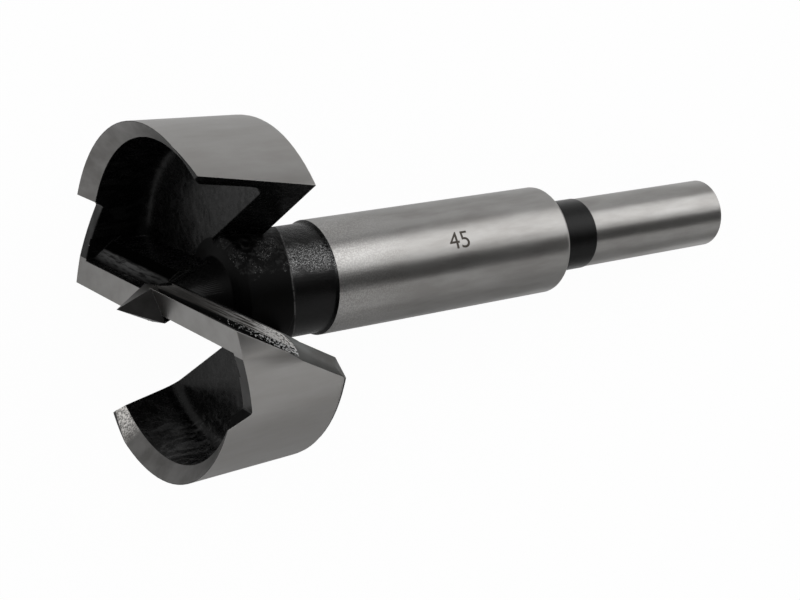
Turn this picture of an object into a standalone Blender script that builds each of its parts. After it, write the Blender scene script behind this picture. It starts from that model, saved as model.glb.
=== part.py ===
"""Forstner bit, 45 mm, one solid piece of steel.

The bit is modelled upright about its own axis, with the plane of the cutting rim at Z = 0, the
centre spur above it and the shank below.  An empty then lays it down as it comes to rest, on the
rear edge of the head at both sides of one gullet and on the end of the shank.  The longest extent
runs along X, the tip points to -X, and the origin is under the middle of the bit on the floor.
"""
from math import atan2, cos, pi, radians, sin, sqrt, tan

import bmesh
import bpy
from mathutils import Matrix, Vector

MM = 0.001

# Head: a ground cup whose rim scribes the hole
HEAD_RADIUS = 22.5 * MM
HEAD_TAPER = 0.55 * MM            # the ground side is this much smaller in radius at the back
HEAD_HEIGHT = 14.9 * MM
HEAD_BACK_FALL = 1.5 * MM         # the forged back runs this much further back at the hub
BACK_EDGE_WIDTH = 0.9 * MM        # unground rounding at the back of the rim
BACK_EDGE_DEPTH = 1.1 * MM
BACK_LEAN = radians(1.5)          # each half of the back is this much shallower across the gullet
RIM_BEVEL_WIDTH = 2.1 * MM        # inner bevel that sharpens the rim
RIM_BEVEL_DEPTH = 1.65 * MM
RIM_EDGE = 0.08 * MM              # thickness left at the sharp rim
POCKET_DEPTH = 9.7 * MM
POCKET_FILLET = 1.9 * MM          # radius between the rim wall and the pocket floor
STEPS_ROUND = 96                  # facets of a full turn
STEPS_FILLET = 4

# Body and shank
HUB_RADIUS = 7.25 * MM
HUB_LENGTH = 6.3 * MM
COLLAR_LENGTH = 0.6 * MM
COLLAR_STEP = 0.4 * MM            # length of the slope up to the collar
BODY_RADIUS = 7.6 * MM
BODY_LENGTH = 38.2 * MM
BODY_EDGE = 0.6 * MM              # rounded rear edge of the body
RING_RADIUS = 5.1 * MM
RING_LENGTH = 6.9 * MM
SHANK_RADIUS = 5.0 * MM
SHANK_LENGTH = 25.7 * MM
SHANK_CHAMFER = 0.7 * MM

# Lifters: two straight chisel edges, half a turn apart
EDGE_TURN = radians(-13.3)        # direction in which the first cutting edge runs outwards
EDGE_AHEAD = 2.19 * MM            # the edge runs this far ahead of the axis
EDGE_DROP = 0.2 * MM              # and this far behind the plane of the rim
FLANK_WIDTH = 3.24 * MM
FLANK_RELIEF = radians(11.5)
SHOULDER_STEP = 1.15 * MM         # drop behind the ground flank
SHOULDER_WIDTH = 1.5 * MM
SHOULDER_RELIEF = radians(54.0)
WALL_DRAFT = radians(6.0)         # slope of the lifter's back wall in the pocket
RAKE_ANGLE = radians(29.0)
RAKE_DEPTH = 8.6 * MM             # depth of the ground rake face at the rim
RAKE_DEPTH_NEAR = 0.55 * MM       # and at the middle
LEDGE_WIDTH = 1.85 * MM           # ledge between the ground rake face and the forged side
NOTCH_AHEAD = 2.3 * MM            # hollow beside the spur, where the ledge is narrower
NOTCH_SPREAD = 0.6 * MM           # the ledge gains this much width along the hollow
NOTCH_LENGTH = 3.0 * MM
NOTCH_DEPTH = 3.4 * MM
NOTCH_FLARE = 0.8 * MM
SIDE_START = 9.2 * MM             # below the ledge the forged side steps back
SIDE_STEP = 0.9 * MM              # length of that step
SIDE_FALL = 0.9 * MM              # its depth at the core, which fades out at the rim

# Rim behind each lifter, ground lower so that the edge cuts freely
RECESS_RELIEF = radians(15.3)
RECESS_LENGTH = 7.3 * MM          # from behind the flank to the foot of the step
RECESS_STEP = 1.6 * MM            # length that the slanted step takes up
RECESS_FILLET = 0.7 * MM

# Gullets: one ahead of each lifter, open through the rim and the back
LEAD_TURN = radians(19.0)         # direction of the face across the gullet
LEAD_AHEAD = 8.35 * MM            # its distance from the axis in the plane of the rim
LEAD_LEAN = radians(11.9)
CORE_RADIUS = 7.35 * MM           # rough core left between the gullets
CORNER_ROUND = 2.2 * MM           # forged corner between the gullet and the outside, round the rim
CORNER_SIDE = 3.0 * MM            # and along the gullet's side, where it grows towards the back
CORNER_SIDE_BACK = 4.4 * MM
CORNER_TIP = 0.36 * MM            # its sharp rear end is rounded off by this much
RIM_FALL = 0.6 * MM               # the rim falls away towards its leading corner
RIM_FALL_LENGTH = 4.6 * MM

# Centre: a conical boss on top of the core, and a four-sided spur on it
CORE_DEPTH = 9.6 * MM             # top of the core, behind the plane of the rim
CORE_EDGE = 0.9 * MM
BOSS_TOP_RADIUS = 1.7 * MM
BOSS_TOP_DEPTH = 2.4 * MM
BOSS_FOOT_RADIUS = 4.3 * MM
BOSS_FILLET = 0.9 * MM
SPUR_HEIGHT = 4.1 * MM
SPUR_NEAR_ALONG = 0.85 * MM       # corner of the spur at the inner end of the cutting edge
SPUR_SIDE_ALONG = -2.2 * MM      # corner of the spur beside the other lifter's flank
SPUR_SIDE_AHEAD = 1.65 * MM
SPUR_SIDE_DEPTH = 1.0 * MM        # its ground faces reach down to here
SPUR_NECK_DEPTH = 3.4 * MM
SPUR_NECK_SHARE = 0.7             # width of the neck at that depth against the faces' foot

# Sizes that follow from the ones above
HEAD_BACK_RADIUS = HEAD_RADIUS - HEAD_TAPER
WALL_INNER_RADIUS = HEAD_RADIUS - RIM_BEVEL_WIDTH
HUB_START = HEAD_HEIGHT + HEAD_BACK_FALL
COLLAR_START = HUB_START + HUB_LENGTH
BODY_START = COLLAR_START + COLLAR_LENGTH
BODY_END = BODY_START + BODY_LENGTH
SHANK_START = BODY_END + RING_LENGTH
SHANK_END = SHANK_START + SHANK_LENGTH
FLANK_END = EDGE_AHEAD - FLANK_WIDTH
SHOULDER_END = FLANK_END - SHOULDER_WIDTH
OUT = HEAD_RADIUS + 4.0 * MM      # cutters run past the head as far as this
ABOVE = SPUR_HEIGHT + 2.0 * MM
OVERLAP = 0.3 * MM                # how far twin cutters and joined pieces reach into each other


def clear_scene():
    for item in list(bpy.data.objects):
        bpy.data.objects.remove(item, do_unlink=True)


def mesh_object(name, verts, faces, hidden=True):
    """A closed mesh from points and faces, its normals turned outwards."""
    mesh = bpy.data.meshes.new(name)
    mesh.from_pydata([tuple(v) for v in verts], [], faces)
    bm = bmesh.new()
    bm.from_mesh(mesh)
    bmesh.ops.recalc_face_normals(bm, faces=bm.faces)
    bm.to_mesh(mesh)
    bm.free()
    item = bpy.data.objects.new(name, mesh)
    bpy.context.scene.collection.objects.link(item)
    item.parent = axis
    if hidden:
        item.hide_render = True
        item.display_type = 'WIRE'
    return item


def revolve(name, profile, hidden=True, phase=0.0):
    """A solid turned about Z: (radius, height) points from axis to axis, or a closed ring."""
    verts, rings = [], []
    for radius, height in profile:
        if radius == 0.0:
            rings.append([len(verts)])
            verts.append((0.0, 0.0, height))
            continue
        rings.append(list(range(len(verts), len(verts) + STEPS_ROUND)))
        for i in range(STEPS_ROUND):
            turn = 2 * pi * (i + phase) / STEPS_ROUND
            verts.append((radius * cos(turn), radius * sin(turn), height))
    faces = []
    for low, high in zip(rings, rings[1:] + rings[:1]):
        if len(low) == 1 and len(high) == 1:
            continue
        for i in range(STEPS_ROUND):
            j = (i + 1) % STEPS_ROUND
            quad = [low[i % len(low)], low[j % len(low)], high[j % len(high)], high[i % len(high)]]
            faces.append(list(dict.fromkeys(quad)))
    return mesh_object(name, verts, faces, hidden)


def loft(name, near, far):
    """A solid between two outlines with the same number of points."""
    count = len(near)
    faces = [list(range(count)), list(range(2 * count - 1, count - 1, -1))]
    for i in range(count):
        j = (i + 1) % count
        faces.append([i, j, count + j])
        faces.append([i, count + j, count + i])
    return mesh_object(name, list(near) + list(far), faces)


def apply_solid(target, tool, operation):
    step = target.modifiers.new(tool.name, 'BOOLEAN')
    step.operation = operation
    step.solver = 'EXACT'
    step.object = tool


def cut_both_sides(target, tool):
    """Cuts with a tool, and with its twin half a turn further on."""
    twin = bpy.data.objects.new(tool.name + '_twin', tool.data)
    bpy.context.scene.collection.objects.link(twin)
    twin.parent = axis
    twin.hide_render = True
    twin.display_type = 'WIRE'
    twin.rotation_euler.z = pi
    for old in tool.modifiers:
        apply_solid(twin, old.object.copy(), old.operation)
        trim = twin.modifiers[-1].object
        bpy.context.scene.collection.objects.link(trim)
        trim.rotation_euler.z = pi
    for item in (tool, twin):
        apply_solid(target, item, 'DIFFERENCE')


def arc(centre, radius, start, end, steps):
    """Points on an arc of a profile, as (across, height)."""
    turns = [start + (end - start) * i / steps for i in range(steps + 1)]
    return [(centre[0] + radius * cos(a), centre[1] + radius * sin(a)) for a in turns]


def turned(turn, along, ahead, height):
    """A point given along a direction, to its left side, and up."""
    return Vector((along * cos(turn) - ahead * sin(turn), along * sin(turn) + ahead * cos(turn), height))


def at_edge(along, ahead, height):
    return turned(EDGE_TURN, along, ahead, height)


def at_lead(along, ahead, height):
    return turned(LEAD_TURN, along, ahead, height)


def extrude_section(name, place, section, start, end):
    """A prism with an (ahead, height) section, run along a direction."""
    return loft(name, [place(start, a, h) for a, h in section], [place(end, a, h) for a, h in section])


def rake_ahead(height):
    """How far ahead of the axis the rake face is at a height."""
    return EDGE_AHEAD + tan(RAKE_ANGLE) * (height + EDGE_DROP)


def flank_height(ahead):
    return -EDGE_DROP - tan(FLANK_RELIEF) * (EDGE_AHEAD - ahead)


def lead_ahead(height):
    return LEAD_AHEAD + tan(LEAD_LEAN) * height


def make_blank():
    """The turned and forged blank, from the plane of the rim to the end of the shank."""
    edge = (BODY_RADIUS - BODY_EDGE, -BODY_END + BODY_EDGE)
    profile = [(0.0, 0.0), (HEAD_RADIUS, 0.0)]
    for step in range(STEPS_FILLET + 1):
        turn = 0.5 * pi * step / STEPS_FILLET
        profile.append((
            HEAD_BACK_RADIUS - BACK_EDGE_WIDTH * (1 - cos(turn)), -HEAD_HEIGHT - BACK_EDGE_DEPTH * sin(turn)))
    profile += [
        (HUB_RADIUS, -HUB_START), (HUB_RADIUS, -COLLAR_START),
        (BODY_RADIUS, -COLLAR_START - COLLAR_STEP),
    ]
    profile += arc(edge, BODY_EDGE, 0.0, -pi / 2, STEPS_FILLET)
    profile += [
        (RING_RADIUS, -BODY_END), (RING_RADIUS, -SHANK_START), (SHANK_RADIUS, -SHANK_START),
        (SHANK_RADIUS, -SHANK_END + SHANK_CHAMFER),
        (SHANK_RADIUS - SHANK_CHAMFER, -SHANK_END), (0.0, -SHANK_END),
    ]
    return revolve('forstner_bit', profile, hidden=False)


def make_pocket_cutter():
    """Turned hollow inside the rim, kept to the half that starts behind the other lifter."""
    slope = RIM_BEVEL_DEPTH / (RIM_BEVEL_WIDTH - RIM_EDGE)
    foot = (WALL_INNER_RADIUS - POCKET_FILLET, -POCKET_DEPTH + POCKET_FILLET)
    ring = [(CORE_RADIUS - OVERLAP, -POCKET_DEPTH)]
    ring += arc(foot, POCKET_FILLET, -pi / 2, 0.0, STEPS_FILLET)
    ring += [
        (WALL_INNER_RADIUS, -RIM_BEVEL_DEPTH), (OUT, slope * (OUT - HEAD_RADIUS + RIM_EDGE)), (OUT, ABOVE),
        (BOSS_TOP_RADIUS - OVERLAP, ABOVE), (BOSS_TOP_RADIUS - OVERLAP, -CORE_DEPTH - OVERLAP),
    ]
    hollow = revolve('pocket_cutter', ring, phase=0.5)
    low, high = -POCKET_DEPTH - OVERLAP, ABOVE + OVERLAP
    outlines = []
    for height in (low, high):
        wall = -SHOULDER_END + tan(WALL_DRAFT) * -min(height, 0.0)
        turn = LEAD_TURN - EDGE_TURN
        outlines.append([
            at_edge(-2 * OUT, wall, height), at_edge(-OVERLAP, wall, height),
            at_edge(-OVERLAP + 2 * OUT * cos(turn), wall + 2 * OUT * sin(turn), height),
            at_edge(0.0, 3 * OUT, height), at_edge(-2 * OUT, 3 * OUT, height),
        ])
    sector = loft('pocket_sector', *outlines)
    apply_solid(hollow, sector, 'INTERSECT')
    return hollow


def make_gullet_cutter():
    """Wedge between the forged side of the gullet and the face across it."""
    turn = LEAD_TURN - EDGE_TURN
    start = -1.0 * MM
    outlines = []
    for height in (-HUB_START - 0.5 * OVERLAP, ABOVE):
        side = rake_ahead(height) + LEDGE_WIDTH
        lead = lead_ahead(height)
        reach = 2 * OUT
        outlines.append([
            at_edge(start, side, height), at_edge(reach, side, height),
            at_edge(reach, (lead + reach * sin(turn)) / cos(turn), height),
            at_edge(start, (lead + start * sin(turn)) / cos(turn), height),
        ])
    return loft('gullet_cutter', *outlines)


def make_side_cutter():
    """Sets the forged side of the gullet back below the ledge, most of all near the core."""
    foot = -HUB_START - 0.5 * OVERLAP
    outlines = []
    for along in (-1.0 * MM, HEAD_RADIUS):
        fall = 0.08 * MM + SIDE_FALL * (1.0 - along / HEAD_RADIUS)
        section = [
            (0.05 * MM, -SIDE_START), (-fall, -SIDE_START - SIDE_STEP), (-0.6 * fall, foot),
            (3.0 * MM, foot), (3.0 * MM, -SIDE_START),
        ]
        outlines.append([at_edge(along, rake_ahead(h) + LEDGE_WIDTH + a, h) for a, h in section])
    return loft('side_cutter', *outlines)


def make_core():
    """Rough core between the gullets, with the conical boss that carries the spur."""
    return revolve('core', [
        (0.0, -BOSS_TOP_DEPTH), (BOSS_TOP_RADIUS, -BOSS_TOP_DEPTH),
        (BOSS_FOOT_RADIUS, -CORE_DEPTH + BOSS_FILLET),
        (BOSS_FOOT_RADIUS + 0.5 * BOSS_FILLET, -CORE_DEPTH + 0.25 * BOSS_FILLET),
        (BOSS_FOOT_RADIUS + 1.5 * BOSS_FILLET, -CORE_DEPTH),
        (CORE_RADIUS - CORE_EDGE, -CORE_DEPTH - 0.3 * CORE_EDGE), (CORE_RADIUS, -CORE_DEPTH - CORE_EDGE),
        (CORE_RADIUS, -HUB_START - OVERLAP), (0.0, -HUB_START - OVERLAP),
    ])


def make_back_cutter():
    """Slopes the forged back of one half, from behind its lifter to the face across the gullet."""
    near, far = [], []
    for along in (-OUT, OUT):
        height = -HEAD_HEIGHT - BACK_EDGE_DEPTH + tan(BACK_LEAN) * (0.85 * HEAD_RADIUS - along)
        for points, ahead in ((near, 0.0), (far, -OUT)):
            points.append(at_edge(along, ahead, height))
    for along in (OUT, -OUT):
        for points, ahead in ((near, 0.0), (far, -OUT)):
            points.append(at_edge(along, ahead, -HUB_START - 0.5 * OVERLAP))
    return loft('back_cutter', near, far)


def make_lifter_top_cutter():
    """Ground flank behind the cutting edge, then the lowered rim and the step at its end."""
    recess = FLANK_END - OVERLAP
    foot = recess - RECESS_LENGTH
    foot_height = flank_height(recess) - tan(RECESS_RELIEF) * RECESS_LENGTH
    rise = -foot_height / RECESS_STEP
    steep = atan2(rise, -1.0)
    corner = RECESS_FILLET * tan((pi - steep + RECESS_RELIEF) / 2) * 0.5
    section = [
        (EDGE_AHEAD + 3.0 * MM, ABOVE), (EDGE_AHEAD + 3.0 * MM, flank_height(EDGE_AHEAD + 3.0 * MM)),
        (recess, flank_height(recess)),
        (foot + corner * cos(RECESS_RELIEF), foot_height + corner * sin(RECESS_RELIEF)),
        (foot + 0.1 * corner, foot_height + 0.45 * corner),
        (foot + corner * cos(steep), foot_height + corner * sin(steep)),
        (foot - (ABOVE - foot_height) / rise, ABOVE),
    ]
    return extrude_section('lifter_top_cutter', at_edge, section, -OVERLAP, OUT)


def make_shoulder_cutter():
    """Lower forged shoulder between the ground flank and the pocket, inside the rim wall."""
    top = flank_height(FLANK_END)
    low = top - SHOULDER_STEP
    far = SHOULDER_END - 1.5 * MM
    drop = 0.2 * MM
    section = [
        (FLANK_END + drop * (ABOVE - top) / SHOULDER_STEP, ABOVE),
        (FLANK_END - drop, low), (far, low - tan(SHOULDER_RELIEF) * (FLANK_END - drop - far)), (far, ABOVE),
    ]
    end = sqrt(WALL_INNER_RADIUS ** 2 - FLANK_END ** 2)
    return extrude_section('shoulder_cutter', at_edge, section, 0.5 * OVERLAP, end)


def make_rake_cutter():
    """Ground rake face, which leaves a sloping ledge ahead of it."""
    rim = sqrt(HEAD_RADIUS ** 2 - rake_ahead(-RAKE_DEPTH) ** 2)
    slope = (RAKE_DEPTH - RAKE_DEPTH_NEAR) / rim
    near, far = [], []
    for along, height in (
            (0.0, ABOVE), (OUT, ABOVE), (OUT, -RAKE_DEPTH_NEAR - slope * OUT), (0.0, -RAKE_DEPTH_NEAR)):
        near.append(at_edge(along, rake_ahead(height), height))
        far.append(at_edge(along, rake_ahead(ABOVE) + LEDGE_WIDTH + 1.0 * MM, height))
    return loft('rake_cutter', near, far)


def make_notch_cutter():
    """Hollow beside the spur, which leaves the inner end of the ledge narrow."""
    near, far = [], []
    for height in (-NOTCH_DEPTH, ABOVE):
        end = NOTCH_LENGTH + NOTCH_FLARE * (height + NOTCH_DEPTH) / NOTCH_DEPTH
        for points, ahead in ((near, NOTCH_AHEAD), (far, NOTCH_AHEAD + 2 * LEDGE_WIDTH)):
            points.append(at_edge(-OVERLAP - 0.1 * MM, ahead, height))
            points.append(at_edge(end, ahead + NOTCH_SPREAD, height))
    order = (0, 1, 3, 2)
    return loft('notch_cutter', [near[i] for i in order], [far[i] for i in order])


def make_tip_cutter():
    """Rounds off the sharp rear end of the forged corner."""
    height = -HUB_START + 0.5 * MM
    side = rake_ahead(height) + LEDGE_WIDTH - 0.6 * CORNER_ROUND
    along = sqrt(HEAD_BACK_RADIUS ** 2 - side ** 2) - 0.5 * CORNER_ROUND
    facing = at_edge(0.45, 0.55, -0.7).normalized()
    middle = at_edge(along, side, height) - facing * CORNER_TIP
    across = facing.cross(Vector((0.0, 0.0, 1.0))).normalized() * 6.0 * MM
    down = facing.cross(across).normalized() * 6.0 * MM
    square = [middle + across + down, middle - across + down, middle - across - down, middle + across - down]
    return loft('tip_cutter', square, [corner + facing * 6.0 * MM for corner in square])


def make_corner_cutter():
    """Rounds the forged corner between the side of the gullet and the outside of the head."""
    ends = []
    for height, side_length in (
            (-HUB_START - 1.0 * MM, CORNER_SIDE_BACK), (-RAKE_DEPTH + 1.6 * MM, CORNER_SIDE)):
        radius = HEAD_RADIUS - HEAD_TAPER * -height / HEAD_HEIGHT
        side = rake_ahead(height) + LEDGE_WIDTH
        along = sqrt(radius ** 2 - side ** 2)
        lean = atan2(side, along)
        inwards = at_edge(-side_length, 0.0, 0.0)
        along_rim = at_edge(sin(lean), -cos(lean), 0.0) * CORNER_ROUND
        outwards = at_edge(cos(lean), sin(lean), 0.0) * CORNER_ROUND
        tip = at_edge(along, side, height)
        outline = [tip + inwards - 0.03 * along_rim]
        for step in range(1, STEPS_FILLET + 1):
            turn = 0.5 * pi * step / STEPS_FILLET
            outline.append(tip + inwards * (1 - sin(turn)) + along_rim * (1 - cos(turn)))
        outline += [tip + along_rim + outwards, tip + outwards - along_rim, tip + inwards - along_rim]
        ends.append(outline)
    return loft('corner_cutter', *ends)


def make_rim_fall_cutter():
    """Lowers the rim a little towards its leading corner."""
    start = lead_ahead(0.0)
    slope = RIM_FALL / RIM_FALL_LENGTH
    section = []
    for ahead in (start - 3.0 * MM, start + RIM_FALL_LENGTH + 3.0 * MM):
        section.append((ahead, -RIM_FALL + slope * (ahead - start)))
    section += [(section[1][0], ABOVE), (section[0][0], ABOVE)]
    return extrude_section('rim_fall_cutter', at_lead, section, 0.55 * HEAD_RADIUS, OUT)


def make_spur():
    """Four-sided point, whose near corners meet the inner ends of the cutting edges."""
    ridge = SPUR_HEIGHT + EDGE_DROP
    grow = (SPUR_HEIGHT + SPUR_SIDE_DEPTH) / ridge
    corners = [
        (SPUR_NEAR_ALONG, EDGE_AHEAD), (SPUR_SIDE_ALONG, SPUR_SIDE_AHEAD),
        (-SPUR_NEAR_ALONG, -EDGE_AHEAD), (-SPUR_SIDE_ALONG, -SPUR_SIDE_AHEAD),
    ]
    neck = SPUR_NECK_SHARE * grow
    verts = [at_edge(neck * a, neck * b, -SPUR_NECK_DEPTH) for a, b in corners]
    verts += [at_edge(grow * a, grow * b, -SPUR_SIDE_DEPTH) for a, b in corners]
    verts.append(Vector((0.0, 0.0, SPUR_HEIGHT)))
    faces = [[3, 2, 1, 0]]
    for i in range(4):
        j = (i + 1) % 4
        faces += [[i, j, 4 + j, 4 + i], [4 + i, 4 + j, 8]]
    return mesh_object('spur', verts, faces)


def steel(item):
    material = bpy.data.materials.new('ground_steel')
    material.use_nodes = True
    shader = material.node_tree.nodes['Principled BSDF']
    shader.inputs['Base Color'].default_value = (0.42, 0.42, 0.41, 1.0)
    shader.inputs['Metallic'].default_value = 1.0
    shader.inputs['Roughness'].default_value = 0.32
    item.data.materials.append(material)


def evaluated_points(item):
    bpy.context.view_layer.update()
    graph = bpy.context.evaluated_depsgraph_get()
    solid = item.evaluated_get(graph)
    mesh = solid.to_mesh()
    points = [item.matrix_world @ v.co for v in mesh.vertices]
    solid.to_mesh_clear()
    return points


def rest_matrix(points):
    """Turns the upright bit so that it lies on two corners of one gullet and on its shank end."""
    hull = bmesh.new()
    for point in points:
        hull.verts.new(point)
    bmesh.ops.convex_hull(hull, input=hull.verts)
    hull.normal_update()
    down = turned(pi + 0.5 * (LEAD_TURN + EDGE_TURN), 1.0, 0.0, 0.0)
    across = turned(pi + 0.5 * (LEAD_TURN + EDGE_TURN), 0.0, 1.0, 0.0)
    best, floor = 0.0, down
    for face in hull.faces:
        ends = [v.co for v in face.verts if v.co.z < -SHANK_START]
        sides = [v.co @ across for v in face.verts if v.co.z > -SHANK_START]
        if ends and sides and min(sides) < 0.0 < max(sides) and face.normal @ down > 0.5:
            if face.calc_area() > best:
                best, floor = face.calc_area(), face.normal.copy()
    hull.free()
    backwards = Vector((0.0, 0.0, -1.0))
    forwards = (backwards - floor * (floor @ backwards)).normalized()
    up = -floor
    return Matrix((forwards, up.cross(forwards), up)).to_4x4()


clear_scene()
axis = bpy.data.objects.new('bit_axis', None)
bpy.context.scene.collection.objects.link(axis)
bit = make_blank()
cut_both_sides(bit, make_pocket_cutter())
cut_both_sides(bit, make_gullet_cutter())
cut_both_sides(bit, make_side_cutter())
cut_both_sides(bit, make_back_cutter())
apply_solid(bit, make_core(), 'UNION')
cut_both_sides(bit, make_lifter_top_cutter())
cut_both_sides(bit, make_shoulder_cutter())
cut_both_sides(bit, make_rake_cutter())
cut_both_sides(bit, make_notch_cutter())
cut_both_sides(bit, make_corner_cutter())
cut_both_sides(bit, make_tip_cutter())
cut_both_sides(bit, make_rim_fall_cutter())
apply_solid(bit, make_spur(), 'UNION')
steel(bit)
bit.data.shade_smooth()
bit.data.set_sharp_from_angle(angle=radians(28.0))

laid = rest_matrix(evaluated_points(bit))
axis.rotation_euler = laid.to_euler()
placed = evaluated_points(bit)
low = Vector([min(p[i] for p in placed) for i in range(3)])
high = Vector([max(p[i] for p in placed) for i in range(3)])
axis.location = (-(low.x + high.x) / 2, -(low.y + high.y) / 2, -low.z)
bpy.context.view_layer.update()
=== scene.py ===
"""Forstner bit for 45 mm holes, lying on a white studio floor.

The rim, the lifters, the body and the shank are ground bright.  The hollows of the head, the hub and
the groove ahead of the shank keep their black forging skin.
"""
from math import cos, radians, sin, sqrt, tan

import bpy
from mathutils import Euler, Matrix, Vector


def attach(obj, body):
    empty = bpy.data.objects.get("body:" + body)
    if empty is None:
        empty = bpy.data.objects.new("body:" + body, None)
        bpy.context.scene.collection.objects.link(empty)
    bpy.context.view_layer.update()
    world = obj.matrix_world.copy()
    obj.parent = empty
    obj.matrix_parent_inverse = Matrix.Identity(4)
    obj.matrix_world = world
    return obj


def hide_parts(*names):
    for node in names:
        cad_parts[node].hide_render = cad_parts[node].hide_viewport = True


MM = 0.001

# Where the bit lies: its own axis runs up through the spur, with the rim plane at height 0
BIT_TURN = Euler((radians(22.88092), radians(-78.75233), radians(-23.28166)))
BIT_PLACE = Vector((-44.654, 0.0, 21.702)) * MM

# Sizes in millimetres on the bit's own axes; depths run behind the plane of the rim
HEAD_RADIUS = 22.5
HEAD_TAPER = 0.55
HEAD_BACK = 14.9
HUB_START = 16.4
HUB_END = 23.2
BODY_RADIUS = 7.6
BODY_END = 62.0
GROOVE_END = 68.9
GROOVE_RADIUS = 5.1

# Lifters
EDGE_TURN = radians(-13.3)
EDGE_AHEAD = 2.19
EDGE_DROP = 0.2
FLANK_RELIEF = radians(11.5)
RECESS_RELIEF = radians(15.3)
RAKE_ANGLE = radians(29.0)
LEDGE_WIDTH = 1.85
LEDGE_START = 0.55
LEDGE_SLOPE = 0.36

# Rim, spur and core; the rim's bevel was dressed last round one place, of which these are the angles
RIM_INNER_RADIUS = 20.4
RIM_BEVEL_DEPTH = 1.7
RECESS_DEPTH = 3.3
DRESSED_TURN = radians(-141.0)
DRESSED_REACH = radians(17.0)
DRESSED_EDGE = radians(9.5)
SPUR_REACH = 3.4
CORE_RADIUS = 7.35

# How a face is told from its neighbours: how far off a surface it may lie, and the parts of its normal
# that make it face a surface's way, stand square on the axis, lie level, or slant
NEAR = 0.1
SAME_WAY = 0.99
FLANK_WAY = 0.999
SQUARE_ON = 0.97
LEVEL = 0.9
HALF_WAY = 0.5
SLANTED = 0.3
GULLET_WAY = 0.2
SHOULDER_LOW = 0.4
SHOULDER_HIGH = 0.75

# Where the spur, the flanks, the steps, the shoulders, the gullets' sides and the core start or end
SPUR_DEPTH = 1.6
FLANK_DEPTH = 1.2
STEP_RADIUS = 17.0
SHOULDER_DEPTH = 6.0
GULLET_SLACK = 0.65
GULLET_RADIUS = 8.5
GULLET_DEPTH = 1.0
BACK_DEPTH = 8.0
BACK_FRONT = 6.0
BACK_REACH = 14.0
BACK_CORNER_REACH = 19.0
CORE_DEPTH = 7.0

# From where to where along a lifter, or in depth or height, its marks grow from nothing to their most
# Along the ledge, the brightening, whitening and sparkle are a painted highlight, and the chips are partly
# painted glints
LEDGE_BRIGHTENS = (5.0, 17.5)
LEDGE_WHITENS = (14.5, 17.5)
LEDGE_SPARKLES = (16.0, 19.5)
CHIPS_START = (10.0, 12.0)
CHIPS_THICKEN = (12.0, 20.0)
CHATTER_STARTS = (10.0, 14.0)
CHATTER_HEIGHTS = (-3.0, -1.6)
CORNER_WORN = (12.0, 15.0)
# The shoulder's worn band is partly a painted highlight
BAND_TOP = (1.9, 2.9)
BAND_FOOT = (3.65, 3.4)
BAND_BRIGHTENS = (3.0, 11.0)

# How far edges look rounded
FINE_EDGE = 0.1 * MM
GROUND_EDGE = 0.12 * MM
BURNT_EDGE = 0.15 * MM
FORGED_EDGE = 0.25 * MM
CORNER_EDGE = 1.2 * MM

# Tones, as the share of light thrown back; the glint tones and the sheen tone are painted highlights, and
# on the shoulders the worn tone is partly a painted highlight
CORE_BLACK = 0.001
CORE_GLINT = 0.26
WISP_TONE = 0.022
HUB_BLACK = 0.02
HUB_GLINT = 0.21
WORN_TONE = 0.085
SHEEN_TONE = 0.045
CORNER_DARK = (0.072, 0.071, 0.067)
CORNER_LIGHT = (0.13, 0.136, 0.134)

# Radius at which painted shade on the forged side of a gullet starts, darkening it towards the rim
CORNER_RIM = 21.2

# Share that the marks round the axis have in the tone of ground steel, and depth where the grain and its
# painted glints end
LINE_SHARE = 0.05
GRAIN_END = 36.0

# Worn line where the forged head meets the hub; the side of the core that is rough, where glints are
# painted; and the side of the hub facing the softbox's reflection, where glints are painted too
WORN_START = 19.0
WORN_SLOPE = 0.342
WORN_WIDTH = 0.16
ROUGH_TURN = radians(52.0)
ROUGH_START = 5.9
GLINT_TURN = radians(25.5)
GLINT_START = 6.97

# Along Y, where painted highlight wisps on the skin of the lower hollow start and where they are strongest
SHEEN_START = -15.0
SHEEN_FULL = -18.5

# Smoothing of the bit's mesh, whose shared corners are merged first
MERGE_GAP = 0.000002
SMOOTH_ANGLE = radians(28.0)

# Size mark on the body: its height, and its middle behind the rim and round from the bit's X axis
MARK_TEXT = "45"
MARK_HEIGHT = 2.35
MARK_LENGTH = 3.2
MARK_DEPTH = 42.6
MARK_TURN = radians(16.6)
MARK_PROUD = 0.012
MARK_THICKNESS = 0.04
MARK_STRIPS = 14
TEXT_EXTRUDE = 0.05
TEXT_MERGE_GAP = 0.0001

# Camera
CAMERA_PLACE = Vector((-91.0212, -1.6321, 212.4032)) * MM
CAMERA_TURN = Euler((radians(3.15194), radians(-22.45187), radians(-10.56019)))
CAMERA_LENS = 71.113
CAMERA_SENSOR = 36.0

# Light: the softbox and the cards stand along the bit, at angles round its axis from the top to +Y
REACH = 0.6
STAND_LENGTH = 2.4
STAND_MIDDLE = 0.1
SOFTBOX_TURN = 38.7
SOFTBOX_SPREAD = 25.0
SOFTBOX_WATTS = 3.1

# Cards that the steel mirrors: name, turn, half the angle that the card spans, and tone
CARDS = (
    ("top_card", 79.5, 15.5, 0.75),
    ("dark_card", -21.5, 20.0, 0.1),
    ("side_card", -70.0, 25.0, 0.72),
)

# Cards on the floor either side of the body: name, place along Y, and tone
FLOOR_CARDS = (
    ("near_floor_card", -0.165, 0.43),
    ("far_floor_card", 0.165, 0.82),
)
FLOOR_CARD_LENGTH = 0.5
FLOOR_CARD_WIDTH = 0.3
FLOOR_CARD_MIDDLE = 0.21
FLOOR_CARD_HEIGHT = 0.0002

# Flag between the softbox and the head
FLAG_TURN = 56.5
FLAG_SPREAD = 9.5
FLAG_REACH = 0.5
FLAG_MIDDLE = -0.07
FLAG_LENGTH = 0.86
FLAG_TONE = 0.2

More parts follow.
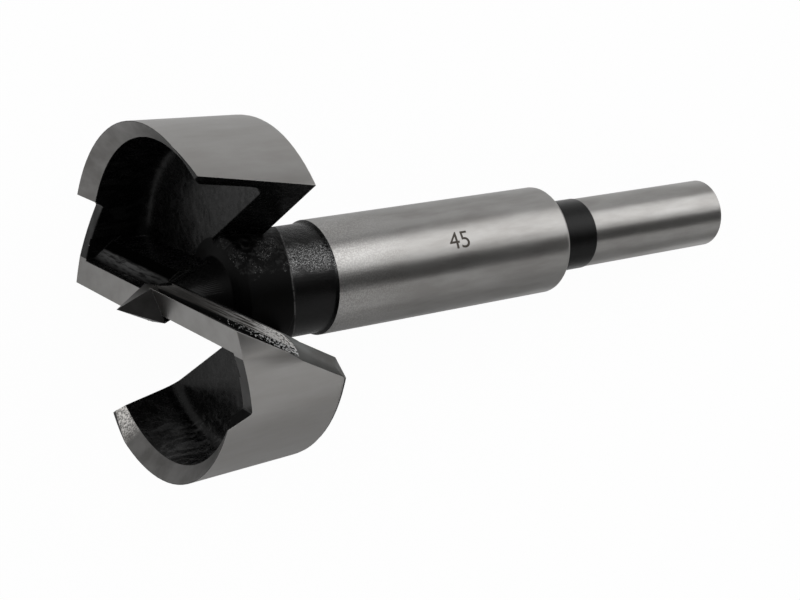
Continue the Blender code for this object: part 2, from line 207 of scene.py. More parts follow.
# Floor and world
FLOOR_SIZE = 12.0
FLOOR_TONE = 0.93
FLOOR_GLOW_SHARE = 0.97
WHITE = (1.0, 1.0, 1.0, 1.0)
WORLD_LEVEL = 0.58


def deselect_all():
    if bpy.context.mode != 'OBJECT':
        bpy.ops.object.mode_set(mode='OBJECT')
    bpy.ops.object.select_all(action='DESELECT')


def pick(item):
    deselect_all()
    item.select_set(True)
    bpy.context.view_layer.objects.active = item


def to_bit(point):
    """A point on the floor's axes, given in millimetres on the bit's own axes."""
    return BIT_TURN.to_matrix().transposed() @ (point - BIT_PLACE) / MM


def from_bit(point):
    return BIT_TURN.to_matrix() @ (Vector(point) * MM) + BIT_PLACE


class Finish:
    """A material with its nodes, and the node helpers that the finishes share."""

    def __init__(self, name):
        self.material = bpy.data.materials.new(name)
        self.material.use_nodes = True
        self.nodes = self.material.node_tree.nodes
        self.links = self.material.node_tree.links
        self.shader = self.nodes['Principled BSDF']
        self.axes = self.bit_axes()

    def add(self, kind, **settings):
        node = self.nodes.new(kind)
        for name, value in settings.items():
            setattr(node, name, value)
        return node

    def join(self, source, target):
        self.links.new(source, target)

    def bit_axes(self):
        """Object coordinates turned to the bit's own axes, in millimetres."""
        place = self.add('ShaderNodeTexCoord')
        turn = self.add('ShaderNodeMapping', vector_type='TEXTURE')
        turn.inputs['Location'].default_value = BIT_PLACE
        turn.inputs['Rotation'].default_value = BIT_TURN
        turn.inputs['Scale'].default_value = (MM, MM, MM)
        self.join(place.outputs['Object'], turn.inputs['Vector'])
        return turn.outputs['Vector']

    def edge_axes(self):
        """The bit's axes turned to the lifters: along the cutting edge, ahead of it and up."""
        turn = self.add('ShaderNodeMapping', vector_type='TEXTURE')
        turn.inputs['Rotation'].default_value = (0.0, 0.0, EDGE_TURN)
        self.join(self.axes, turn.inputs['Vector'])
        return turn.outputs['Vector']

    def rake_offset(self, edge):
        """How far a point is ahead of the rake face of its own lifter."""
        ahead = self.math('MULTIPLY', self.part(edge, 'Y'), self.math('SIGN', self.part(edge, 'X')))
        drop = self.math('MULTIPLY', self.math('ADD', self.part(edge, 'Z'), EDGE_DROP), tan(RAKE_ANGLE))
        return self.math('SUBTRACT', self.math('SUBTRACT', ahead, drop), EDGE_AHEAD)

    def radius(self):
        """How far a point is from the bit's axis."""
        flat = self.add('ShaderNodeVectorMath', operation='MULTIPLY')
        flat.inputs[1].default_value = (1.0, 1.0, 0.0)
        self.join(self.axes, flat.inputs[0])
        length = self.add('ShaderNodeVectorMath', operation='LENGTH')
        self.join(flat.outputs['Vector'], length.inputs[0])
        return length.outputs['Value']

    def strip_axes(self, edge):
        """Axes of the strip ahead of the rake face: along the lifter, and ahead of the face."""
        strip = self.add('ShaderNodeCombineXYZ')
        self.join(self.part(edge, 'X'), strip.inputs['X'])
        self.join(self.rake_offset(edge), strip.inputs['Y'])
        return strip.outputs['Vector']

    def towards(self, turn):
        """How far a point lies towards this direction round the bit's axis."""
        reach = self.add('ShaderNodeVectorMath', operation='DOT_PRODUCT')
        reach.inputs[1].default_value = (cos(turn), sin(turn), 0.0)
        self.join(self.axes, reach.inputs[0])
        return reach.outputs['Value']

    def part(self, vector, axis):
        split = self.add('ShaderNodeSeparateXYZ')
        self.join(vector, split.inputs['Vector'])
        return split.outputs[axis]

    def noise(self, stretch, detail=3.0, roughness=0.5, distortion=0.0, axes=None):
        """Noise with this many grains per millimetre, the same or different along the axes."""
        if isinstance(stretch, float):
            stretch = (stretch, stretch, stretch)
        scale = self.add('ShaderNodeVectorMath', operation='MULTIPLY')
        scale.inputs[1].default_value = stretch
        self.join(axes or self.axes, scale.inputs[0])
        grain = self.add('ShaderNodeTexNoise')
        grain.inputs['Scale'].default_value = 1.0
        grain.inputs['Detail'].default_value = detail
        grain.inputs['Roughness'].default_value = roughness
        grain.inputs['Distortion'].default_value = distortion
        self.join(scale.outputs['Vector'], grain.inputs['Vector'])
        return grain.outputs['Fac']

    def span(self, value, low, high, to_low, to_high):
        spread = self.add('ShaderNodeMapRange')
        spread.inputs['From Min'].default_value = low
        spread.inputs['From Max'].default_value = high
        spread.inputs['To Min'].default_value = to_low
        spread.inputs['To Max'].default_value = to_high
        self.join(value, spread.inputs['Value'])
        return spread.outputs['Result']

    def share(self, value, low, high):
        """How far a value is from low to high, kept between 0 and 1."""
        return self.span(value, low, high, 0.0, 1.0)

    def math(self, operation, first, second=None):
        step = self.add('ShaderNodeMath', operation=operation)
        for socket, value in zip(step.inputs, (first, second)):
            if isinstance(value, (int, float)):
                socket.default_value = value
            elif value is not None:
                self.join(value, socket)
        return step.outputs['Value']

    def blend(self, share, first, second):
        """A mix of two colours; each is a socket or a plain colour."""
        mix = self.add('ShaderNodeMix', data_type='RGBA')
        self.join(share, mix.inputs['Factor'])
        for socket, value in ((mix.inputs[6], first), (mix.inputs[7], second)):
            if isinstance(value, tuple):
                socket.default_value = (*value, 1.0)
            else:
                self.join(value, socket)
        return mix.outputs[2]

    def cloudy(self, cloud, dark, light):
        """A steel colour that drifts between two tones."""
        return self.blend(self.share(cloud, 0.35, 0.65), grey(dark, 0.03), grey(light, 0.02))

    def bump(self, height, strength, distance, under=None):
        relief = self.add('ShaderNodeBump')
        relief.inputs['Distance'].default_value = distance
        if isinstance(strength, float):
            relief.inputs['Strength'].default_value = strength
        else:
            self.join(strength, relief.inputs['Strength'])
        self.join(height, relief.inputs['Height'])
        if under is not None:
            self.join(under, relief.inputs['Normal'])
        return relief.outputs['Normal']

    def round_edges(self, radius):
        soft = self.add('ShaderNodeBevel', samples=4)
        soft.inputs['Radius'].default_value = radius
        return soft.outputs['Normal']

    def axis_tangent(self):
        """The bit's axis, along which the grinding marks spread a reflection."""
        along = self.add('ShaderNodeCombineXYZ')
        axis = BIT_TURN.to_matrix() @ Vector((0.0, 0.0, 1.0))
        for socket, value in zip(along.inputs, axis):
            socket.default_value = value
        return along.outputs['Vector']

    def set(self, **values):
        for name, value in values.items():
            socket = self.shader.inputs[name.replace('_', ' ')]
            if isinstance(value, (int, float)):
                socket.default_value = value
            elif isinstance(value, tuple):
                socket.default_value = (*value, 1.0)
            else:
                self.join(value, socket)
        return self


def grey(tone, warmth=0.0):
    """A metal's colour: a grey of this brightness, a little warm or cool."""
    return (tone * (1.0 + warmth), tone, tone * (1.0 - 1.2 * warmth))


def ground_steel(name, tone, roughness, mottle, grain=0.0):
    """Cylindrically ground steel: cloudy in tone, with faint marks that run round the axis, and with a
    grain near the hub whose lighter specks are painted glints.
    """
    steel = Finish(name)
    cloud = steel.noise((0.5, 0.5, 0.12), detail=3.0, roughness=0.6)
    lines = steel.noise((0.3, 0.3, 5.0), detail=2.0, roughness=0.6)
    clouded = steel.math('MULTIPLY', cloud, 1.0 - LINE_SHARE)
    both = steel.math('ADD', clouded, steel.math('MULTIPLY', lines, LINE_SHARE))
    colour = steel.cloudy(both, tone * (1.0 - mottle), tone * (1.0 + mottle))
    rough = steel.span(lines, 0.3, 0.7, roughness - 0.01, roughness + 0.01)
    relief = steel.bump(cloud, 0.15, 0.05 * MM, steel.round_edges(GROUND_EDGE))
    # Near the hub, lighter specks are painted glints over a fine grain bump
    if grain > 0.0:
        depth = steel.part(steel.axes, 'Z')
        near_hub = steel.span(depth, -GRAIN_END, -HUB_END - 1.0, 0.0, grain)
        specks = steel.noise(5.0, detail=2.0)
        glints = steel.math('MULTIPLY', steel.share(specks, 0.45, 0.6), near_hub)
        colour = steel.blend(glints, colour, grey(tone * 1.6, 0.02))
        relief = steel.bump(specks, near_hub, 0.04 * MM, relief)
    steel.set(Base_Color=colour, Metallic=1.0, Roughness=rough, Anisotropic=0.5, Normal=relief)
    steel.join(steel.axis_tangent(), steel.shader.inputs['Tangent'])
    return steel.material


def flat_steel(name, dark, light, roughness):
    """A flat ground face, cloudy between two tones."""
    steel = Finish(name)
    cloud = steel.noise(0.3, detail=3.0, roughness=0.6)
    speck = steel.noise(4.0, detail=2.0, roughness=0.6)
    colour = steel.cloudy(cloud, dark, light)
    relief = steel.bump(speck, 0.05, 0.03 * MM, steel.round_edges(FINE_EDGE))
    steel.set(Base_Color=colour, Metallic=1.0, Roughness=roughness, Normal=relief)
    return steel.material


def black_skin(name, dark, light, roughness, shine, lump_height, pit_height, grain):
    """Black forging skin, lumpy on a broad scale, pitted on a fine one, with painted highlight wisps
    strongest in the lower hollow.
    """
    skin = Finish(name)
    lumps = skin.noise(0.3, detail=2.0, roughness=0.5, distortion=0.4)
    pits = skin.noise(grain, detail=3.0, roughness=0.6)
    wisps = skin.noise((0.7, 0.7, 0.3), detail=4.0, roughness=0.6, distortion=1.0)
    # Painted highlight: lighter wisps, faint everywhere and strongest in the lower hollow
    sheen_share = skin.span(skin.part(skin.axes, 'Y'), SHEEN_START, SHEEN_FULL, 0.08, 1.0)
    painted_sheen = skin.math('MULTIPLY', skin.share(wisps, 0.48, 0.64), sheen_share)
    colour = skin.blend(skin.share(lumps, 0.35, 0.7), grey(dark), grey(light))
    colour = skin.blend(painted_sheen, colour, grey(SHEEN_TONE))
    rough = skin.span(pits, 0.3, 0.7, roughness - 0.06, roughness + 0.08)
    relief = skin.bump(lumps, 0.6, lump_height * MM, skin.round_edges(FORGED_EDGE))
    relief = skin.bump(pits, 0.5, pit_height * MM, relief)
    skin.set(Base_Color=colour, Metallic=0.0, Roughness=rough, Specular_IOR_Level=shine, Normal=relief)
    return skin.material


def hub_skin():
    """Black skin of the hub, finely pitted, and of the forged core ahead of a worn line round it, with
    painted glints on both.
    """
    skin = Finish('hub_skin')
    slant = skin.math('MULTIPLY', skin.math('ABSOLUTE', skin.part(skin.axes, 'X')), WORN_SLOPE)
    behind = skin.math('SUBTRACT', slant, skin.math('ADD', skin.part(skin.axes, 'Z'), WORN_START))
    on_hub = skin.share(behind, -0.1, 0.1)
    line = skin.share(skin.math('ABSOLUTE', behind), WORN_WIDTH, 0.3 * WORN_WIDTH)
    pits = skin.noise(7.5, detail=2.0, roughness=0.7)
    wisps = skin.noise(1.1, detail=4.0, roughness=0.7, distortion=0.6)
    clusters = skin.noise(0.45, detail=1.0)
    rough_side = skin.math('ABSOLUTE', skin.towards(ROUGH_TURN))
    ragged = skin.math('ADD', rough_side, skin.span(wisps, 0.3, 0.7, -0.6, 0.6))
    torn = skin.share(ragged, ROUGH_START, ROUGH_START + 0.3)
    # Painted glints: lighter metal specks on the side of the hub facing the softbox's reflection
    glint_side = skin.math('ABSOLUTE', skin.towards(GLINT_TURN))
    uneven = skin.math('ADD', glint_side, skin.span(clusters, 0.35, 0.65, -0.12, 0.12))
    hub_glints = skin.share(uneven, GLINT_START - 0.05, GLINT_START + 0.25)
    hub_glints = skin.math('MULTIPLY', hub_glints, skin.share(pits, 0.5, 0.58))
    # Painted glints: light specks on the rough side of the core
    core_glints = skin.math('MULTIPLY', skin.share(clusters, 0.52, 0.6), skin.share(pits, 0.6, 0.68))
    wispy = skin.blend(skin.share(wisps, 0.5, 0.66), grey(CORE_BLACK), grey(WISP_TONE))
    core = skin.blend(torn, grey(CORE_BLACK), skin.blend(core_glints, wispy, grey(CORE_GLINT)))
    colour = skin.blend(on_hub, core, skin.blend(hub_glints, grey(HUB_BLACK), grey(HUB_GLINT)))
    worn = skin.math('MULTIPLY', line, skin.span(wisps, 0.44, 0.6, 0.1, 1.0))
    colour = skin.blend(worn, colour, grey(WORN_TONE))
    relief = skin.bump(wisps, skin.math('MULTIPLY', torn, 0.5), 0.3 * MM, skin.round_edges(FORGED_EDGE))
    relief = skin.bump(pits, skin.math('MULTIPLY', on_hub, 0.5), 0.06 * MM, relief)
    rough = skin.span(on_hub, 0.0, 1.0, 0.45, 0.26)
    skin.set(Base_Color=colour, Metallic=on_hub, Roughness=rough, Specular_IOR_Level=0.06, Normal=relief)
    return skin.material


def milled_ledge():
    """Ledge ahead of the rake face: dull beside the spur, then ever brighter streaks that sparkle, the
    brightening a painted highlight; its foot by the rake face is painted black as a dark reflection.
    """
    steel = Finish('milled_ledge')
    edge = steel.edge_axes()
    strip = steel.strip_axes(edge)
    streaks = steel.noise((0.3, 5.5, 0.0), detail=3.0, roughness=0.6, axes=strip)
    specks = steel.noise((3.0, 5.5, 0.0), detail=2.0, roughness=0.6, axes=strip)
    along = steel.math('ABSOLUTE', steel.part(edge, 'X'))
    outwards = steel.share(along, *LEDGE_BRIGHTENS)
    mixed = steel.add('ShaderNodeMix', data_type='FLOAT')
    steel.join(steel.span(along, *LEDGE_SPARKLES, 0.1, 0.7), mixed.inputs['Factor'])
    steel.join(streaks, mixed.inputs[2])
    steel.join(specks, mixed.inputs[3])
    lift = steel.math('ADD', mixed.outputs[0], steel.span(along, *LEDGE_WHITENS, 0.0, 0.045))
    marks = steel.share(lift, 0.46, 0.55)
    shade = steel.blend(outwards, grey(0.035, 0.04), grey(0.09, 0.06))
    # Painted highlight: the streaks turn white towards the outer end of the ledge
    bright = steel.blend(steel.math('POWER', outwards, 2.5), grey(0.055, 0.04), grey(1.0, 0.02))
    offset = steel.math('SUBTRACT', steel.rake_offset(edge), steel.math('MULTIPLY', along, 0.015))
    ledge = steel.share(offset, 0.4, 0.5)
    # Painted dark reflection: the foot by the rake face is black, its light specks partly chips and partly
    # painted glints
    denser = steel.math('ADD', specks, steel.span(along, *CHIPS_THICKEN, -0.05, 0.1))
    chips = steel.math('MULTIPLY', steel.share(denser, 0.57, 0.61), steel.share(along, *CHIPS_START))
    foot = steel.blend(chips, grey(0.006), grey(0.9))
    colour = steel.blend(ledge, foot, steel.blend(marks, shade, bright))
    steel.set(Base_Color=colour, Metallic=0.0, Roughness=0.5, Specular_IOR_Level=0.2)
    return steel.material


def rim_bevel(name, dark, light):
    """Inner bevel of the rim: dull, but coarse and bright where it was dressed last, at one end."""
    steel = Finish(name)
    cloud = steel.noise(0.3, detail=3.0, roughness=0.6)
    speck = steel.noise(4.0, detail=2.0, roughness=0.7)
    turn = steel.math('DIVIDE', steel.towards(DRESSED_TURN), steel.radius())
    ragged = steel.math('ADD', turn, steel.span(cloud, 0.3, 0.7, -0.006, 0.006))
    dressed_end = steel.share(ragged, cos(DRESSED_REACH), cos(DRESSED_EDGE))
    dull = steel.cloudy(cloud, dark, light)
    coarse = steel.blend(steel.share(speck, 0.4, 0.6), grey(0.18, 0.03), grey(0.75, 0.03))
    colour = steel.blend(dressed_end, dull, coarse)
    relief = steel.bump(speck, 0.12, 0.05 * MM, steel.round_edges(FINE_EDGE))
    steel.set(Base_Color=colour, Metallic=1.0, Roughness=0.38, Normal=relief)
    return steel.material


def dark_rake():
    """Rake face: painted nearly black as a dark reflection, with faint chatter marks towards its outer end
    whose light specks are painted sparkles.
    """
    steel = Finish('dark_rake')
    edge = steel.edge_axes()
    chatter = steel.noise((2.5, 3.5, 3.5), detail=3.0, roughness=0.7, axes=edge)
    along = steel.math('ABSOLUTE', steel.part(edge, 'X'))
    outwards = steel.share(along, *CHATTER_STARTS)
    near_edge = steel.math('MULTIPLY', outwards, steel.share(steel.part(edge, 'Z'), *CHATTER_HEIGHTS))
    marks = steel.math('MULTIPLY', steel.share(chatter, 0.52, 0.6), near_edge)
    # Painted dark reflection: the rake face is black, with painted sparkles at the chatter marks
    colour = steel.blend(marks, grey(0.004, 0.02), grey(0.12))
    steel.set(Base_Color=colour, Metallic=0.0, Roughness=0.6, Specular_IOR_Level=0.0)
    return steel.material


def forged_corner():
    """Forged side of each gullet: black at the core, worn satin grey at the corner, and painted shade by
    the rim.
    """
    steel = Finish('forged_corner')
    cloud = steel.noise((0.25, 0.25, 0.18), detail=3.0, roughness=0.55, distortion=0.5)
    along = steel.math('ABSOLUTE', steel.part(steel.edge_axes(), 'X'))
    worn = steel.blend(steel.share(cloud, 0.4, 0.62), CORNER_DARK, CORNER_LIGHT)
    colour = steel.blend(steel.share(along, *CORNER_WORN), grey(0.003), worn)
    # Painted shade: a dark strip along the rim's edge, standing in for the shading of a rounded corner
    wavering = steel.math('ADD', steel.radius(), steel.span(cloud, 0.35, 0.65, -0.25, 0.25))
    painted_shade_by_rim = steel.span(wavering, CORNER_RIM, CORNER_RIM + 0.5, 0.0, 0.6)
    colour = steel.blend(painted_shade_by_rim, colour, grey(0.03, 0.05))
    relief = steel.bump(cloud, 0.4, 0.2 * MM, steel.round_edges(CORNER_EDGE))
    steel.set(Base_Color=colour, Metallic=0.0, Roughness=0.42, Specular_IOR_Level=0.3, Normal=relief)
    return steel.material


def worn_shoulder():
    """Shoulder behind a flank: black, with a worn band along its middle whose light tone is partly a
    painted highlight.
    """
    steel = Finish('worn_shoulder')
    edge = steel.edge_axes()
    streaks = steel.noise((0.35, 2.2, 2.2), detail=3.0, roughness=0.6, axes=edge)
    depth = steel.math('MULTIPLY', steel.part(steel.axes, 'Z'), -1.0)
    # The worn band's light tone, growing outwards, is partly wear and partly a painted highlight along the
    # ridge
    band = steel.math('MULTIPLY', steel.share(depth, *BAND_TOP), steel.share(depth, *BAND_FOOT))
    along = steel.math('ABSOLUTE', steel.part(edge, 'X'))
    outwards = steel.span(along, *BAND_BRIGHTENS, 0.35, 1.0)
    streaky = steel.math('MULTIPLY', steel.span(streaks, 0.36, 0.54, 0.15, 1.0), outwards)
    worn = steel.math('MULTIPLY', band, streaky)
    colour = steel.blend(worn, grey(CORE_BLACK), grey(WORN_TONE))
    relief = steel.round_edges(FORGED_EDGE)
    steel.set(Base_Color=colour, Metallic=0.0, Roughness=0.6, Specular_IOR_Level=0.0, Normal=relief)
    return steel.material


def burnt_recess():
    """Recess of the other half: burnt black, but dull steel out on the rim."""
    steel = Finish('burnt_recess')
    rim = steel.share(steel.radius(), RIM_INNER_RADIUS - 0.3, RIM_INNER_RADIUS + 0.5)
    cloud = steel.noise(0.4, detail=3.0, roughness=0.6)
    dull = steel.blend(steel.share(cloud, 0.4, 0.6), grey(0.022, 0.02), grey(0.045, 0.0))
    colour = steel.blend(rim, grey(0.004), dull)
    relief = steel.bump(cloud, 0.2, 0.1 * MM, steel.round_edges(BURNT_EDGE))
    steel.set(Base_Color=colour, Metallic=rim, Roughness=0.45, Specular_IOR_Level=0.02, Normal=relief)
    return steel.material


def etched_mark():
    """Size number, burnt dark into the body."""
    mark = Finish('etched_mark')
    mark.set(Base_Color=(0.06, 0.052, 0.043), Metallic=0.3, Roughness=0.6, Specular_IOR_Level=0.3)
    return mark.material


FINISHES = {}


def make_finishes():
    FINISHES['side'] = ground_steel('ground_side', 0.36, 0.34, mottle=0.06)
    # Painted light: the half of the head's side towards -Y is a lighter copy of the ground side
    FINISHES['side_low'] = ground_steel('ground_side_painted_lighter', 0.42, 0.34, mottle=0.05)
    FINISHES['body'] = ground_steel('turned_body', 0.34, 0.3, mottle=0.12, grain=0.6)
    FINISHES['flank'] = flat_steel('ground_flank', 0.25, 0.3, 0.3)
    FINISHES['bevel'] = rim_bevel('rim_bevel', 0.155, 0.225)
    # Painted shade: the half of the rim's bevel towards -Y is a darker copy of the rim bevel
    FINISHES['bevel_low'] = rim_bevel('rim_bevel_painted_darker', 0.1, 0.155)
    FINISHES['spur'] = flat_steel('ground_spur', 0.09, 0.13, 0.3)
    FINISHES['spur_low'] = flat_steel('dull_spur', 0.014, 0.022, 0.4)
    FINISHES['recess'] = flat_steel('dull_recess', 0.022, 0.042, 0.4)
    FINISHES['burnt'] = black_skin(
        'burnt_step', dark=0.003, light=0.008, roughness=0.6, shine=0.02,
        lump_height=0.2, pit_height=0.02, grain=2.0)
    FINISHES['burnt_recess'] = burnt_recess()
    FINISHES['shoulder'] = worn_shoulder()
    FINISHES['ledge'] = milled_ledge()
    FINISHES['rake'] = dark_rake()
    FINISHES['corner'] = forged_corner()
    FINISHES['skin'] = black_skin(
        'forging_skin', dark=0.0012, light=0.002, roughness=0.25, shine=0.155,
        lump_height=0.22, pit_height=0.006, grain=1.5)
    FINISHES['hub'] = hub_skin()


def finish_of(centre, normal):
    """Which finish a face of the bit has, by its place and the way that it faces."""
    radius = sqrt(centre.x ** 2 + centre.y ** 2)
    depth = -centre.z
    if depth > HUB_END:
        in_groove = BODY_END < depth < GROOVE_END and radius < GROOVE_RADIUS + NEAR
        return 'hub' if in_groove else 'body'
    if depth > HUB_START - NEAR and radius < BODY_RADIUS:
        return 'hub'
    outwards = (normal.x * centre.x + normal.y * centre.y) / max(radius, NEAR)
    cone = HEAD_RADIUS - HEAD_TAPER * depth / HEAD_BACK
    if radius > cone - 2.0 * NEAR and outwards > SQUARE_ON:
        # The half towards -Y gets the lighter copy, painted light
        return 'side' if centre.y > 0.0 else 'side_low'

    half = 1.0 if centre.x * cos(EDGE_TURN) + centre.y * sin(EDGE_TURN) > 0.0 else -1.0
    along = Vector((cos(EDGE_TURN), sin(EDGE_TURN), 0.0)) * half
    ahead = Vector((-sin(EDGE_TURN), cos(EDGE_TURN), 0.0)) * half
    up = Vector((0.0, 0.0, 1.0))
    flank = up * cos(FLANK_RELIEF) - ahead * sin(FLANK_RELIEF)
    recess = up * cos(RECESS_RELIEF) - ahead * sin(RECESS_RELIEF)
    rake = ahead * cos(RAKE_ANGLE) - up * sin(RAKE_ANGLE)
    reach = centre.dot(along)
    front = centre.dot(ahead)
    forwards = normal.dot(ahead)
    offset = front - EDGE_AHEAD - tan(RAKE_ANGLE) * (centre.z + EDGE_DROP)
    off_ledge = abs(depth - LEDGE_START - LEDGE_SLOPE * reach)

    if radius < SPUR_REACH and depth < SPUR_DEPTH and abs(normal.z) < LEVEL:
        return 'spur_low' if abs(normal.x) > abs(normal.y) else 'spur'
    if normal.dot(flank) > FLANK_WAY and depth < FLANK_DEPTH:
        return 'flank'
    on_bevel = radius > RIM_INNER_RADIUS - NEAR and depth < RIM_BEVEL_DEPTH
    if on_bevel and outwards < -SLANTED and normal.z > HALF_WAY:
        # The half towards -Y gets the darker copy, painted shade
        return 'bevel' if centre.y > 0.0 else 'bevel_low'
    if normal.dot(recess) > SAME_WAY and depth < RECESS_DEPTH:
        return 'recess' if half > 0.0 else 'burnt_recess'
    if forwards > HALF_WAY and normal.z > SLANTED and depth < RECESS_DEPTH and radius > STEP_RADIUS:
        return 'burnt'
    if forwards < -HALF_WAY and SHOULDER_LOW < normal.z < SHOULDER_HIGH and depth < SHOULDER_DEPTH:
        return 'shoulder'
    if normal.dot(rake) > SAME_WAY and abs(offset) < 4.0 * NEAR:
        return 'rake'
    if normal.z > LEVEL and off_ledge < 2.5 * NEAR and 0.0 < offset < LEDGE_WIDTH:
        return 'ledge'
    if forwards > GULLET_WAY and offset > -GULLET_SLACK and radius > GULLET_RADIUS and depth > GULLET_DEPTH:
        return 'corner'
    if depth > HEAD_BACK - GULLET_DEPTH and reach > BACK_REACH and front > -BACK_FRONT:
        return 'corner'
    if depth > BACK_DEPTH and reach > BACK_CORNER_REACH and normal.z < 0.0 and abs(front) < BACK_FRONT:
        return 'corner'
    if abs(radius - CORE_RADIUS) < 3.0 * NEAR and outwards > HALF_WAY:
        return 'hub'
    return 'hub' if radius < CORE_RADIUS and depth > CORE_DEPTH and normal.z > 0.1 else 'skin'


def make_bit():
    """The bit itself, its faces given their finishes."""
    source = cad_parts["forstner_bit"]
    mesh = source.data.copy()
    mesh.materials.clear()
    bit = bpy.data.objects.new('dressed_bit', mesh)
    bpy.context.scene.collection.objects.link(bit)
    pick(bit)
    bpy.ops.object.mode_set(mode='EDIT')
    bpy.ops.mesh.select_all(action='SELECT')
    bpy.ops.mesh.remove_doubles(threshold=MERGE_GAP)
    bpy.ops.object.mode_set(mode='OBJECT')
    if mesh.has_custom_normals:
        bpy.ops.mesh.customdata_custom_splitnormals_clear()
    bpy.ops.object.shade_smooth_by_angle(angle=SMOOTH_ANGLE)
    names = list(FINISHES)
    for name in names:
        mesh.materials.append(FINISHES[name])
    turn = BIT_TURN.to_matrix().transposed()
    for face in mesh.polygons:
        face.material_index = names.index(finish_of(to_bit(face.center), turn @ face.normal))
    return bit


def make_size_mark():
    """The size number on the body: thin digits, cut across into strips and wrapped round it."""
    deselect_all()
    bpy.ops.object.text_add()
    mark = bpy.context.object
    mark.name = 'size_mark'
    mark.data.body = MARK_TEXT
    mark.data.extrude = TEXT_EXTRUDE
    mark.data.resolution_u = 6
    bpy.ops.object.convert(target='MESH')
    bpy.ops.object.mode_set(mode='EDIT')
    bpy.ops.mesh.select_all(action='SELECT')
    bpy.ops.mesh.remove_doubles(threshold=TEXT_MERGE_GAP)
    bpy.ops.object.mode_set(mode='OBJECT')
    points = mark.data.vertices
    low = Vector([min(v.co[i] for v in points) for i in range(3)])
    high = Vector([max(v.co[i] for v in points) for i in range(3)])
    for step in range(1, MARK_STRIPS):
        height = low.y + (high.y - low.y) * step / MARK_STRIPS
        bpy.ops.object.mode_set(mode='EDIT')
        bpy.ops.mesh.select_all(action='SELECT')
        bpy.ops.mesh.bisect(plane_co=(0.0, height, 0.0), plane_no=(0.0, 1.0, 0.0))
        bpy.ops.object.mode_set(mode='OBJECT')
    for point in mark.data.vertices:
        share = [(point.co[i] - low[i]) / (high[i] - low[i]) - 0.5 for i in range(3)]
        turn = MARK_TURN + share[1] * MARK_HEIGHT / BODY_RADIUS
        radius = BODY_RADIUS + MARK_PROUD + (share[2] - 0.5) * MARK_THICKNESS
        depth = MARK_DEPTH + share[0] * MARK_LENGTH
        point.co = from_bit((radius * cos(turn), radius * sin(turn), -depth))
    mark.data.materials.clear()
    mark.data.materials.append(etched_mark())
    return mark


def stand(item, turn, reach, along=STAND_MIDDLE):
    """Places a lamp or card beside the body, its face to the axis and its length along the bit."""
    back = BIT_TURN.to_matrix() @ Vector((0.0, 0.0, -1.0))
    side = Vector((0.0, 1.0, 0.0))
    up = side.cross(back).normalized()
    if up.z < 0.0:
        up = -up
    out = up * cos(radians(turn)) + side * sin(radians(turn))
    across = back.cross(out)
    item.location = out * reach + back * along
    item.rotation_euler = Matrix((across, back, out)).transposed().to_euler()


def spread_width(spread, reach):
    """Width of a card this far off that spans twice the spread, in degrees, as seen from the axis."""
    return 2.0 * reach * tan(radians(spread))


def make_softbox():
    bpy.ops.object.light_add(type='AREA')
    lamp = bpy.context.object
    lamp.name = 'softbox'
    lamp.data.shape = 'RECTANGLE'
    lamp.data.size = spread_width(SOFTBOX_SPREAD, REACH)
    lamp.data.size_y = STAND_LENGTH
    lamp.data.energy = SOFTBOX_WATTS
    stand(lamp, SOFTBOX_TURN, REACH)


def paper(name, tone):
    sheet = bpy.data.materials.new(name)
    sheet.use_nodes = True
    shader = sheet.node_tree.nodes['Principled BSDF']
    shader.inputs['Base Color'].default_value = (tone, tone, tone, 1.0)
    shader.inputs['Roughness'].default_value = 1.0
    shader.inputs['Specular IOR Level'].default_value = 0.0
    return sheet


def make_card(name, width, length, tone):
    """A card that shows in the steel alone: unless told to, it blocks no light, and no camera sees it."""
    bpy.ops.mesh.primitive_plane_add(size=1.0)
    card = bpy.context.object
    card.name = name
    card.scale = (width, length, 1.0)
    card.visible_camera = False
    card.visible_diffuse = False
    card.visible_shadow = False
    card.data.materials.append(paper(name + '_paper', tone))
    return card


def make_flag():
    """A dark flag that hides the upper edge of the softbox from the half of the body by the head.

    Unlike the cards it blocks light.
    """
    flag = make_card("flag", spread_width(FLAG_SPREAD, FLAG_REACH), FLAG_LENGTH, FLAG_TONE)
    flag.visible_shadow = True
    stand(flag, FLAG_TURN, FLAG_REACH, FLAG_MIDDLE)


def make_cards():
    for name, turn, spread, tone in CARDS:
        card = make_card(name, spread_width(spread, REACH), STAND_LENGTH, tone)
        stand(card, turn, REACH)
    for name, place, tone in FLOOR_CARDS:
        card = make_card(name, FLOOR_CARD_LENGTH, FLOOR_CARD_WIDTH, tone)
        card.location = (FLOOR_CARD_MIDDLE, place, FLOOR_CARD_HEIGHT)


def make_floor():
    """A pale floor that the camera sees as nearly white, with the shadow of the bit on it."""
    bpy.ops.mesh.primitive_plane_add(size=FLOOR_SIZE)
    floor = bpy.context.object
    floor.name = 'floor'
    sheet = paper('floor_paper', FLOOR_TONE)
    nodes, links = sheet.node_tree.nodes, sheet.node_tree.links
    path = nodes.new('ShaderNodeLightPath')
    glow = nodes.new('ShaderNodeEmission')
    glow.inputs['Color'].default_value = WHITE
    glow.inputs['Strength'].default_value = 1.0
    share = nodes.new('ShaderNodeMath')
    share.operation = 'MULTIPLY'
    share.inputs[1].default_value = FLOOR_GLOW_SHARE
    mix = nodes.new('ShaderNodeMixShader')
    links.new(path.outputs['Is Camera Ray'], share.inputs[0])
    links.new(share.outputs['Value'], mix.inputs['Fac'])
    links.new(nodes['Principled BSDF'].outputs['BSDF'], mix.inputs[1])
    links.new(glow.outputs['Emission'], mix.inputs[2])
    links.new(mix.outputs['Shader'], nodes['Material Output'].inputs['Surface'])
    floor.data.materials.append(sheet)


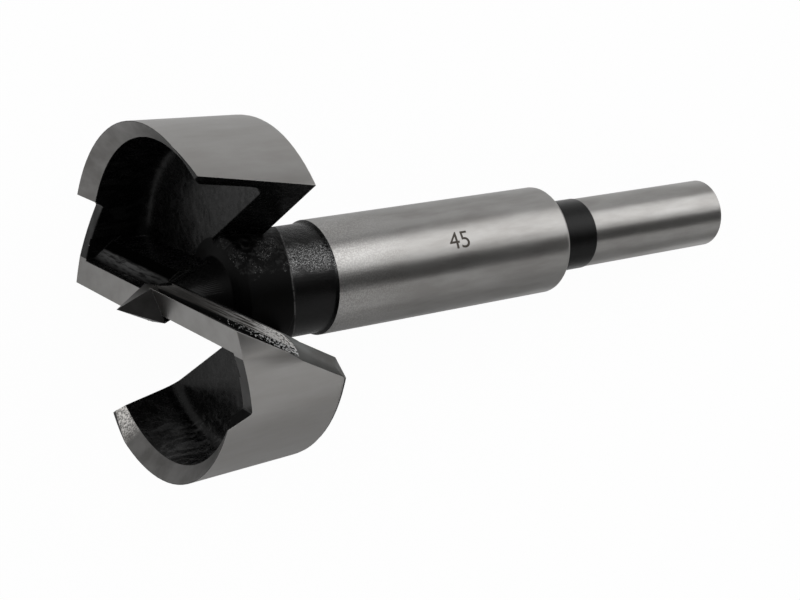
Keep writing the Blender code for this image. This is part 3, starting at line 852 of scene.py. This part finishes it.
def make_world():
    """White where the camera or a reflection looks past the floor, and a plain level elsewhere."""
    world = bpy.data.worlds.new('studio')
    bpy.context.scene.world = world
    world.use_nodes = True
    nodes, links = world.node_tree.nodes, world.node_tree.links
    plain = nodes['Background']
    plain.inputs['Color'].default_value = WHITE
    plain.inputs['Strength'].default_value = WORLD_LEVEL
    white = nodes.new('ShaderNodeBackground')
    white.inputs['Color'].default_value = WHITE
    white.inputs['Strength'].default_value = 1.0
    path = nodes.new('ShaderNodeLightPath')
    seen = nodes.new('ShaderNodeMath')
    seen.operation = 'MAXIMUM'
    links.new(path.outputs['Is Camera Ray'], seen.inputs[0])
    links.new(path.outputs['Is Glossy Ray'], seen.inputs[1])
    mix = nodes.new('ShaderNodeMixShader')
    links.new(seen.outputs['Value'], mix.inputs['Fac'])
    links.new(plain.outputs['Background'], mix.inputs[1])
    links.new(white.outputs['Background'], mix.inputs[2])
    links.new(mix.outputs['Shader'], nodes['World Output'].inputs['Surface'])


def make_camera():
    data = bpy.data.cameras.new('camera')
    data.lens = CAMERA_LENS
    data.sensor_width = CAMERA_SENSOR
    data.clip_start = 0.01
    camera = bpy.data.objects.new('camera', data)
    bpy.context.scene.collection.objects.link(camera)
    camera.location = CAMERA_PLACE
    camera.rotation_euler = CAMERA_TURN
    bpy.context.scene.camera = camera


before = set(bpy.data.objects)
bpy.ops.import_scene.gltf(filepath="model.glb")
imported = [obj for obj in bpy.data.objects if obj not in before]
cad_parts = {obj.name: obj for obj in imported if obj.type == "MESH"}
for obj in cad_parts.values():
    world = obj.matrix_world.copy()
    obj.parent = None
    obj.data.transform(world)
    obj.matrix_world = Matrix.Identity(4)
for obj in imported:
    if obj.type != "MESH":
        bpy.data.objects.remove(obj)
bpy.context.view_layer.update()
make_camera()
make_finishes()
dressed = make_bit()
size_mark = make_size_mark()
for piece in (dressed, size_mark):
    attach(piece, "root")
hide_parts("forstner_bit")
make_floor()
make_world()
make_softbox()
make_cards()
make_flag()
bpy.context.scene.view_settings.view_transform = 'Standard'
